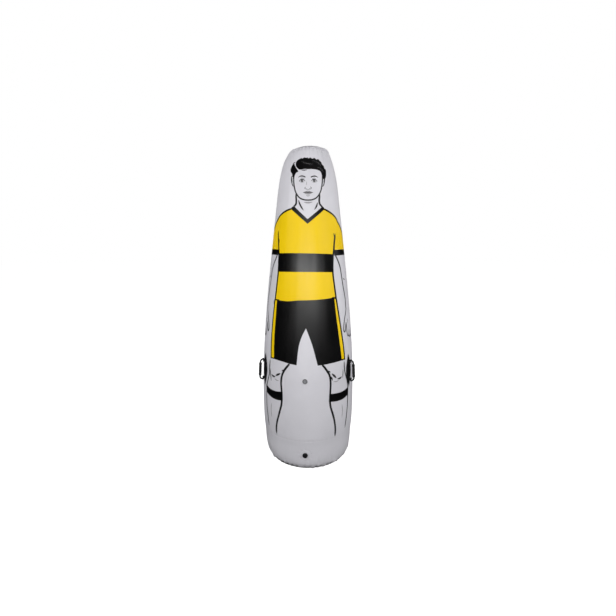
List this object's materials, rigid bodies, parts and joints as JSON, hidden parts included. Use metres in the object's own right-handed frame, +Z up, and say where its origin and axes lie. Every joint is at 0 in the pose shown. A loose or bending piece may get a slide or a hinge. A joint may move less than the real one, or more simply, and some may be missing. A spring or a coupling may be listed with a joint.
{
  "type": "free kick mannequin",
  "caption": "Inflatable free kick dummy with a printed front, water chamber base, side grab handles, air valve and water filler cap.",
  "frame": {"origin": "centre of the flat underside, on the floor", "axes": "+Z up along the dummy's axis, the printed front with both valves faces -Y, +X towards the dummy's own left handle"},
  "size_m": [0.5382, 0.5312, 1.75],
  "materials": {
    "printed_film": "soft glossy PVC film, light grey-white, with a printed footballer in black and yellow",
    "white_film": "soft glossy PVC film, white",
    "base_film": "heavy black PVC film, fine grained",
    "inner_film": "unprinted PVC film, inside",
    "handle_black": "moulded soft black PVC, satin",
    "grip_black": "moulded soft black PVC, fine matt grain",
    "valve_grey": "soft grey PVC moulding, slightly translucent",
    "valve_black": "hard black moulding, satin",
    "seal_rubber": "black rubber"
  },
  "bodies": {
    "hull": {"front_panel": "printed_film", "rear_panel": "white_film", "top_disc": "white_film", "base_disc": "base_film", "ballast_diaphragm": "inner_film", "air_valve_flange": "valve_grey", "air_valve_doubler": "inner_film", "air_valve_stem": "valve_grey", "air_valve_tether_post": "valve_grey", "water_valve_flange": "white_film", "water_valve_doubler": "inner_film", "water_valve_neck": "valve_black", "water_valve_tether": "white_film", "left_handle_patch": "handle_black", "left_handle_upper_lug": "handle_black", "left_handle_lower_lug": "handle_black", "right_handle_patch": "handle_black", "right_handle_upper_lug": "handle_black", "right_handle_lower_lug": "handle_black"},
    "left_handle": {"left_handle_loop": "handle_black", "left_handle_grip": "grip_black"},
    "right_handle": {"right_handle_loop": "handle_black", "right_handle_grip": "grip_black"},
    "air_plug": {"air_valve_plug": "valve_grey", "air_valve_tether": "valve_grey"},
    "air_flap": {"air_valve_flap": "valve_grey"},
    "water_ring": {"water_valve_swivel_ring": "valve_black"},
    "water_cap": {"water_valve_cap": "valve_black", "water_valve_gasket": "seal_rubber"}
  },
  "joints": [
    {"name": "left_handle_swing", "type": "hinge", "parent": "hull", "child": "left_handle", "pos_m": [0.24206, -0.11806, 0.53544], "axis": [-0.0464, 0.0226, 0.9987], "range_deg": [-75, 75], "stiffness_Nm_per_rad": 0.02},
    {"name": "right_handle_swing", "type": "hinge", "parent": "hull", "child": "right_handle", "pos_m": [-0.24206, -0.11806, 0.53544], "axis": [0.0464, 0.0226, 0.9987], "range_deg": [-75, 75], "stiffness_Nm_per_rad": 0.02},
    {"name": "air_plug_hinge", "type": "hinge", "parent": "hull", "child": "air_plug", "pos_m": [0, -0.26645, 0.50464], "axis": [1, 0, 0], "range_deg": [0, 150]},
    {"name": "air_flap_hinge", "type": "hinge", "parent": "hull", "child": "air_flap", "pos_m": [0, -0.24116, 0.52317], "axis": [1, 0, 0], "range_deg": [0, 65], "stiffness_Nm_per_rad": 0.0005},
    {"name": "water_cap_lift", "type": "slide", "parent": "hull", "child": "water_ring", "axis": [0, -0.9993, -0.0364], "range_m": [0, 0.0075]},
    {"name": "water_cap_turn", "type": "hinge", "parent": "water_ring", "child": "water_cap", "pos_m": [0, -0.252, 0.094], "axis": [0, -0.9993, -0.0364], "range_deg": [0, 900]}
  ],
  "couplings": [
    {"joint": "water_cap_turn", "follows": "water_cap_lift", "rad_per_m": 2094.4}
  ]
}
